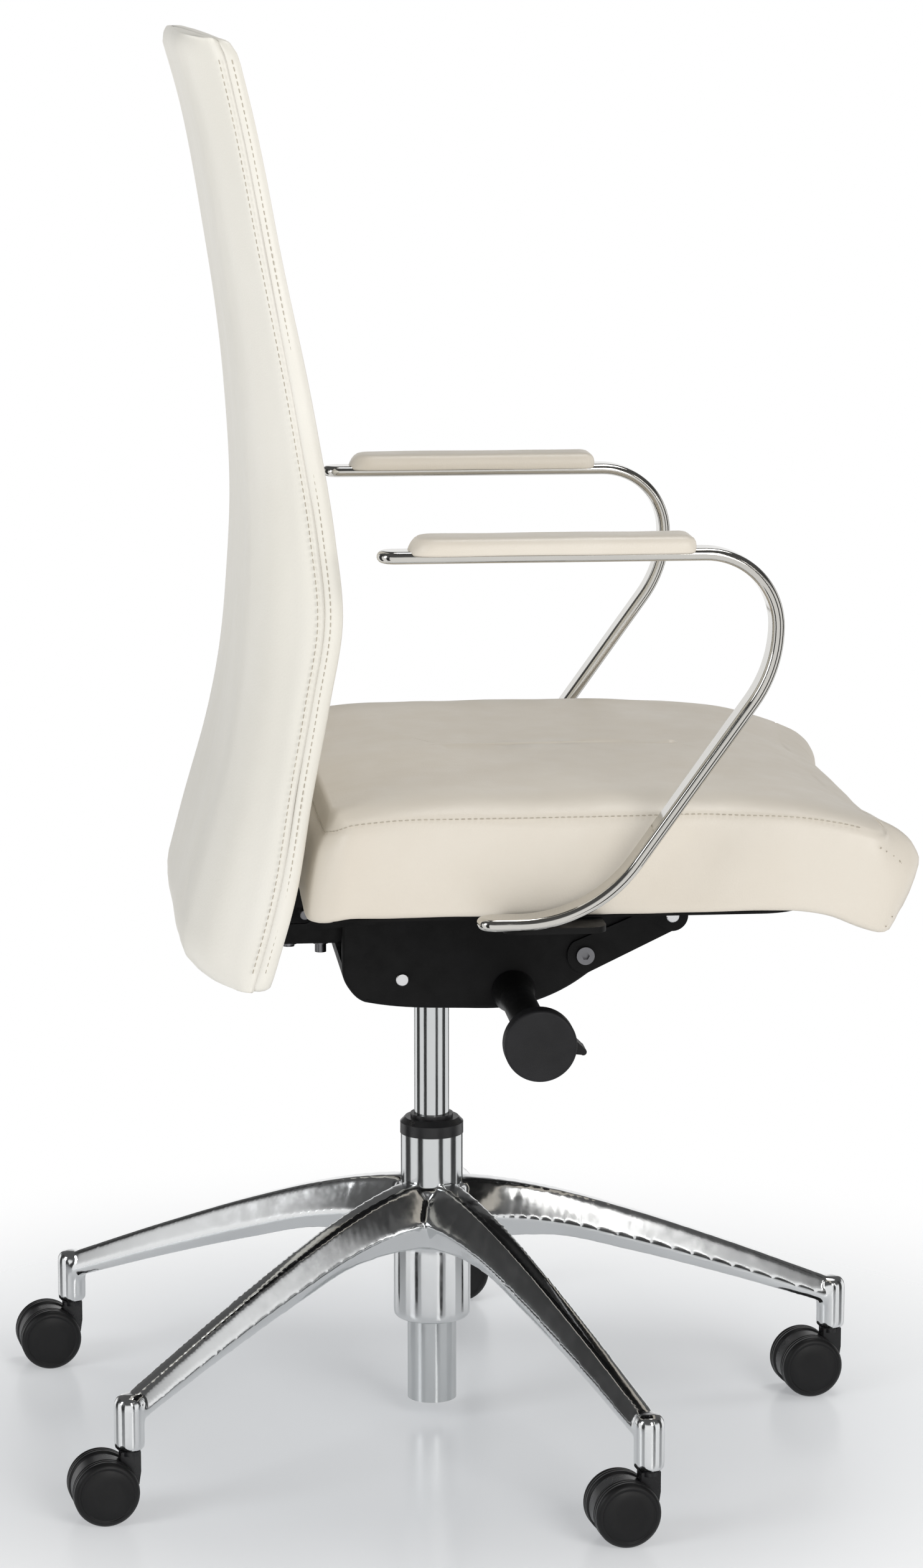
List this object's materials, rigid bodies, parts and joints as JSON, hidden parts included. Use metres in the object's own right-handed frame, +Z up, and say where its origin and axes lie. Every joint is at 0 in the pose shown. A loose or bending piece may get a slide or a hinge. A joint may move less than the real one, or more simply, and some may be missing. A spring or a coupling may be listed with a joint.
{
  "type": "swivel office chair",
  "caption": "Swivel office chair with a tall dished leather back, waterfall seat, loop arms with pads, synchronised tilt mechanism, gas lift and polished star base on twin-wheel casters.",
  "frame": {"origin": "on the floor, on the swivel axis under the gas lift", "axes": "+Z up, the chair faces -Y, the sitter's right hand is on the -X side"},
  "size_m": [0.68, 0.6823, 1.1],
  "materials": {
    "polished_aluminium": "polished",
    "chrome": "polished",
    "bush_plastic": "satin black",
    "steel": "machined",
    "black_metal": "black powder coat",
    "pin_steel": "turned",
    "dark_bolt": "black oxide",
    "spring_steel": "oiled",
    "knob_plastic": "fine satin",
    "lever_plastic": "satin",
    "plywood": "bare beech ply",
    "under_cover": "matte black",
    "seat_leather": "ivory, fine grain",
    "back_leather": "ivory, fine grain",
    "back_front_leather": "ivory, fine grain",
    "pad_leather": "ivory, smooth",
    "polished_steel": "polished flat bar",
    "hood_plastic": "satin black",
    "wheel_plastic": "black wheel disc"
  },
  "bodies": {
    "base": {"five_star_base": "polished_aluminium", "column_tube": "chrome", "guide_bush": "bush_plastic", "thrust_bearing": "steel"},
    "piston": {"piston_rod": "steel", "retaining_clip": "spring_steel"},
    "mechanism": {"pressure_cylinder": "chrome", "mechanism_housing": "black_metal", "rear_pivot_pin": "pin_steel", "front_pivot_pin": "pin_steel", "front_support_arm_right": "black_metal", "front_support_arm_left": "black_metal", "spacer_bolts": "dark_bolt", "tension_springs": "spring_steel"},
    "valve_button": {"valve_button": "steel"},
    "height_lever": {"height_lever": "lever_plastic"},
    "tension_knob": {"tension_knob_shaft": "steel", "tension_knob_grip": "knob_plastic"},
    "tilt_lock": {"tilt_lock_lever": "lever_plastic", "tilt_lock_shaft": "steel"},
    "back": {"back_lever": "black_metal", "link_pin": "dark_bolt", "back_upright": "black_metal", "back_bolts": "dark_bolt", "back_inner_shell": "plywood", "back_rear_cover": "back_leather", "back_front_cushion": "back_front_leather"},
    "seat": {"seat_bracket": "black_metal", "seat_bolts": "dark_bolt", "seat_under_cover": "under_cover", "seat_inner_shell": "plywood", "seat_cushion": "seat_leather", "arm_loop_right": "polished_steel", "arm_loop_left": "polished_steel", "arm_pad_right": "pad_leather", "arm_pad_left": "pad_leather", "arm_pad_screws": "dark_bolt", "arm_bracket_right": "black_metal", "arm_bracket_left": "black_metal", "arm_bolts": "dark_bolt"},
    "caster_1": {"caster_1_hood": "hood_plastic", "caster_1_stem_and_axle": "steel"},
    "caster_1_inner_wheel": {"caster_1_wheel_inner": "wheel_plastic"},
    "caster_1_outer_wheel": {"caster_1_wheel_outer": "wheel_plastic"},
    "caster_2": {"caster_2_hood": "hood_plastic", "caster_2_stem_and_axle": "steel"},
    "caster_2_inner_wheel": {"caster_2_wheel_inner": "wheel_plastic"},
    "caster_2_outer_wheel": {"caster_2_wheel_outer": "wheel_plastic"},
    "caster_3": {"caster_3_hood": "hood_plastic", "caster_3_stem_and_axle": "steel"},
    "caster_3_inner_wheel": {"caster_3_wheel_inner": "wheel_plastic"},
    "caster_3_outer_wheel": {"caster_3_wheel_outer": "wheel_plastic"},
    "caster_4": {"caster_4_hood": "hood_plastic", "caster_4_stem_and_axle": "steel"},
    "caster_4_inner_wheel": {"caster_4_wheel_inner": "wheel_plastic"},
    "caster_4_outer_wheel": {"caster_4_wheel_outer": "wheel_plastic"},
    "caster_5": {"caster_5_hood": "hood_plastic", "caster_5_stem_and_axle": "steel"},
    "caster_5_inner_wheel": {"caster_5_wheel_inner": "wheel_plastic"},
    "caster_5_outer_wheel": {"caster_5_wheel_outer": "wheel_plastic"}
  },
  "joints": [
    {"name": "swivel", "type": "hinge", "parent": "base", "child": "piston", "pos_m": [0, 0, 0.03], "axis": [0, 0, 1], "continuous": true},
    {"name": "seat_height", "type": "slide", "parent": "piston", "child": "mechanism", "axis": [0, 0, 1], "range_m": [-0.09, 0.01]},
    {"name": "valve_press", "type": "slide", "parent": "mechanism", "child": "valve_button", "axis": [0, 0, -1], "range_m": [0, 0.004]},
    {"name": "height_lever_lift", "type": "hinge", "parent": "mechanism", "child": "height_lever", "pos_m": [-0.15, -0.058, 0.364], "axis": [-1, 0, 0], "range_deg": [0, 12], "stiffness_Nm_per_rad": 1.2, "springref_deg": -5.73},
    {"name": "tension_knob_turn", "type": "hinge", "parent": "mechanism", "child": "tension_knob", "pos_m": [-0.24, -0.058, 0.364], "axis": [-1, 0, 0], "range_deg": [-720, 720]},
    {"name": "tilt_lock_turn", "type": "hinge", "parent": "mechanism", "child": "tilt_lock", "pos_m": [0.15, -0.058, 0.364], "axis": [-1, 0, 0], "range_deg": [0, 30]},
    {"name": "back_tilt", "type": "hinge", "parent": "mechanism", "child": "back", "pos_m": [0, 0.029, 0.375], "axis": [-1, 0, 0], "range_deg": [0, 20], "stiffness_Nm_per_rad": 90, "springref_deg": -28.65},
    {"name": "seat_tilt", "type": "hinge", "parent": "mechanism", "child": "seat", "pos_m": [0, -0.182, 0.423], "axis": [-1, 0, 0], "range_deg": [0, 5.4]},
    {"name": "caster_1_swivel", "type": "hinge", "parent": "base", "child": "caster_1", "pos_m": [0.0325, -0.33141, 0.06], "axis": [0, 0, 1], "continuous": true},
    {"name": "caster_1_inner_roll", "type": "hinge", "parent": "caster_1", "child": "caster_1_inner_wheel", "pos_m": [0.02964, -0.31111, 0.025], "axis": [-0.9903, -0.1392, 0], "continuous": true},
    {"name": "caster_1_outer_roll", "type": "hinge", "parent": "caster_1", "child": "caster_1_outer_wheel", "pos_m": [0.02964, -0.31111, 0.025], "axis": [-0.9903, -0.1392, 0], "continuous": true},
    {"name": "caster_2_swivel", "type": "hinge", "parent": "base", "child": "caster_2", "pos_m": [0.32523, -0.07151, 0.06], "axis": [0, 0, 1], "continuous": true},
    {"name": "caster_2_inner_roll", "type": "hinge", "parent": "caster_2", "child": "caster_2_inner_wheel", "pos_m": [0.32238, -0.05121, 0.025], "axis": [-0.9903, -0.1392, 0], "continuous": true},
    {"name": "caster_2_outer_roll", "type": "hinge", "parent": "caster_2", "child": "caster_2_outer_wheel", "pos_m": [0.32238, -0.05121, 0.025], "axis": [-0.9903, -0.1392, 0], "continuous": true},
    {"name": "caster_3_swivel", "type": "hinge", "parent": "base", "child": "caster_3", "pos_m": [0.16851, 0.28722, 0.06], "axis": [0, 0, 1], "continuous": true},
    {"name": "caster_3_inner_roll", "type": "hinge", "parent": "caster_3", "child": "caster_3_inner_wheel", "pos_m": [0.16566, 0.30752, 0.025], "axis": [-0.9903, -0.1392, 0], "continuous": true},
    {"name": "caster_3_outer_roll", "type": "hinge", "parent": "caster_3", "child": "caster_3_outer_wheel", "pos_m": [0.16566, 0.30752, 0.025], "axis": [-0.9903, -0.1392, 0], "continuous": true},
    {"name": "caster_4_swivel", "type": "hinge", "parent": "base", "child": "caster_4", "pos_m": [-0.22109, 0.24902, 0.06], "axis": [0, 0, 1], "continuous": true},
    {"name": "caster_4_inner_roll", "type": "hinge", "parent": "caster_4", "child": "caster_4_inner_wheel", "pos_m": [-0.22394, 0.26932, 0.025], "axis": [-0.9903, -0.1392, 0], "continuous": true},
    {"name": "caster_4_outer_roll", "type": "hinge", "parent": "caster_4", "child": "caster_4_outer_wheel", "pos_m": [-0.22394, 0.26932, 0.025], "axis": [-0.9903, -0.1392, 0], "continuous": true},
    {"name": "caster_5_swivel", "type": "hinge", "parent": "base", "child": "caster_5", "pos_m": [-0.30515, -0.13332, 0.06], "axis": [0, 0, 1], "continuous": true},
    {"name": "caster_5_inner_roll", "type": "hinge", "parent": "caster_5", "child": "caster_5_inner_wheel", "pos_m": [-0.308, -0.11302, 0.025], "axis": [-0.9903, -0.1392, 0], "continuous": true},
    {"name": "caster_5_outer_roll", "type": "hinge", "parent": "caster_5", "child": "caster_5_outer_wheel", "pos_m": [-0.308, -0.11302, 0.025], "axis": [-0.9903, -0.1392, 0], "continuous": true}
  ],
  "couplings": [
    {"joint": "seat_tilt", "follows": "back_tilt", "ratio": 0.2648},
    {"joint": "valve_press", "follows": "height_lever_lift", "m_per_rad": 0.01891}
  ]
}
